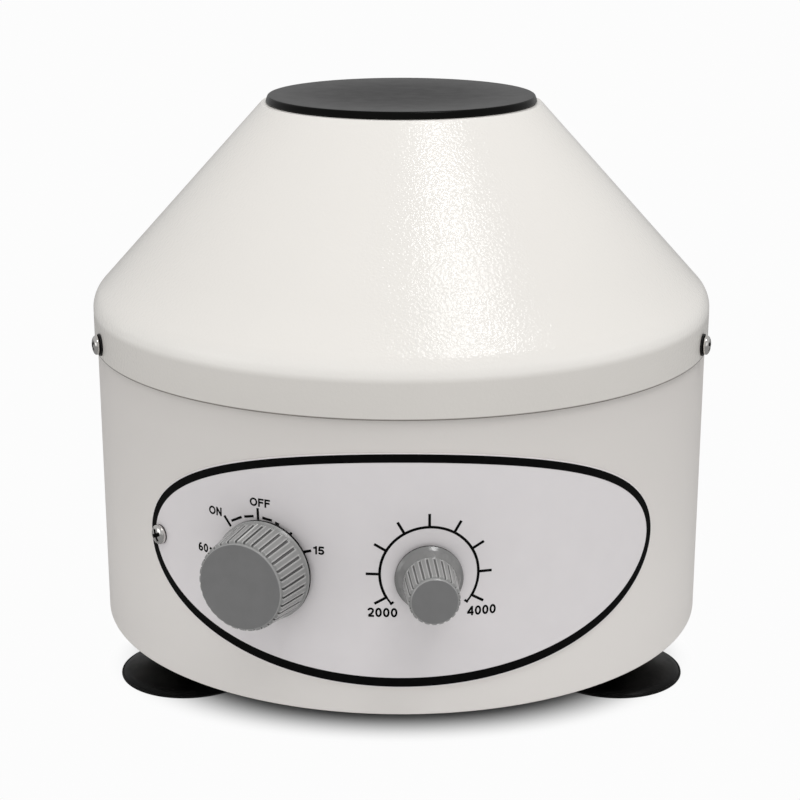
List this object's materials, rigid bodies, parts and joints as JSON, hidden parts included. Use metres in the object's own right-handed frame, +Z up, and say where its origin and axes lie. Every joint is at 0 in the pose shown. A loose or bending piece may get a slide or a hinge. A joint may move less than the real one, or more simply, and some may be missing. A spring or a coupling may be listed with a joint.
{
  "type": "benchtop centrifuge",
  "caption": "Round drum on suction feet with a conical cover, a lift-off lid, an angle rotor with tube sleeves, and a front panel with a timer and a speed knob.",
  "frame": {"origin": "on the drum's axis at the height of the bench", "axes": "+Z up along the drum's axis, -Y out of the front panel, +X to the right as seen from the front"},
  "size_m": [0.27, 0.3191, 0.2452],
  "materials": {
    "drum_paint": "satin light grey enamel",
    "cover_paint": "satin off-white enamel with a fine orange peel",
    "steel": "zinc-plated",
    "bright_screw": "bright nickel",
    "rubber": "smooth black rubber",
    "black_plastic": "matt black",
    "aluminium": "satin",
    "panel_foil": "satin silver panel with a printed black border",
    "grey_plastic": "satin mid grey",
    "pale_plastic": "satin",
    "core_steel": "laminated steel",
    "copper": "enamelled copper",
    "board": "green board",
    "lead_jacket": "smooth jacket"
  },
  "bodies": {
    "base": {"drum_shell": "drum_paint", "base_plate": "steel", "base_screws": "bright_screw", "foot_left": "rubber", "foot_right": "rubber", "foot_rear": "rubber", "foot_studs": "bright_screw", "foot_nuts": "bright_screw", "cone_cover": "cover_paint", "cover_screws": "bright_screw", "cover_washers": "black_plastic", "chamber_bowl": "aluminium", "bowl_screws": "bright_screw", "bowl_gasket": "rubber", "front_panel": "panel_foil", "panel_screw": "bright_screw", "timer_body": "pale_plastic", "timer_nut": "bright_screw", "speed_pot": "core_steel", "speed_nut": "bright_screw", "control_board": "board", "board_spacers": "pale_plastic", "heat_sink": "aluminium", "triac": "black_plastic", "capacitor": "pale_plastic", "terminal_block": "board", "internal_leads": "lead_jacket", "motor_posts": "steel", "motor_dampers": "rubber", "motor_screws": "bright_screw", "lower_bell": "aluminium", "upper_bell": "aluminium", "stator_core": "core_steel", "field_coils": "copper", "motor_bolts": "bright_screw", "lower_bearing": "steel", "upper_bearing": "steel", "brush_holders": "copper", "carbon_brushes": "black_plastic", "brush_caps": "black_plastic", "gland_body": "black_plastic", "gland_lock_nut": "black_plastic"},
    "spinner": {"motor_shaft": "steel", "armature_core": "core_steel", "armature_winding": "copper", "commutator": "copper", "cooling_fan": "black_plastic", "rotor_head": "aluminium", "rotor_nut": "steel", "tube_sleeve_1": "pale_plastic", "tube_sleeve_2": "pale_plastic", "tube_sleeve_3": "pale_plastic", "tube_sleeve_4": "pale_plastic", "tube_sleeve_5": "pale_plastic", "tube_sleeve_6": "pale_plastic"},
    "lid": {"lid": "black_plastic"},
    "timer_control": {"timer_spindle": "steel", "timer_knob": "grey_plastic"},
    "speed_control": {"speed_spindle": "steel", "speed_knob": "grey_plastic"}
  },
  "joints": [
    {"name": "lid_lift", "type": "slide", "parent": "base", "child": "lid", "axis": [0, 0, 1], "range_m": [0, 0.12]},
    {"name": "rotor_spin", "type": "hinge", "parent": "base", "child": "spinner", "pos_m": [0, 0, 0.1], "axis": [0, 0, 1], "continuous": true},
    {"name": "timer_turn", "type": "hinge", "parent": "base", "child": "timer_control", "pos_m": [-0.05957, -0.13766, 0.0752], "axis": [-0.3971, -0.9178, 0], "range_deg": [-285, 36]},
    {"name": "speed_turn", "type": "hinge", "parent": "base", "child": "speed_control", "pos_m": [0.01177, -0.14954, 0.076], "axis": [0.0785, -0.9969, 0], "range_deg": [-270, 0]}
  ]
}
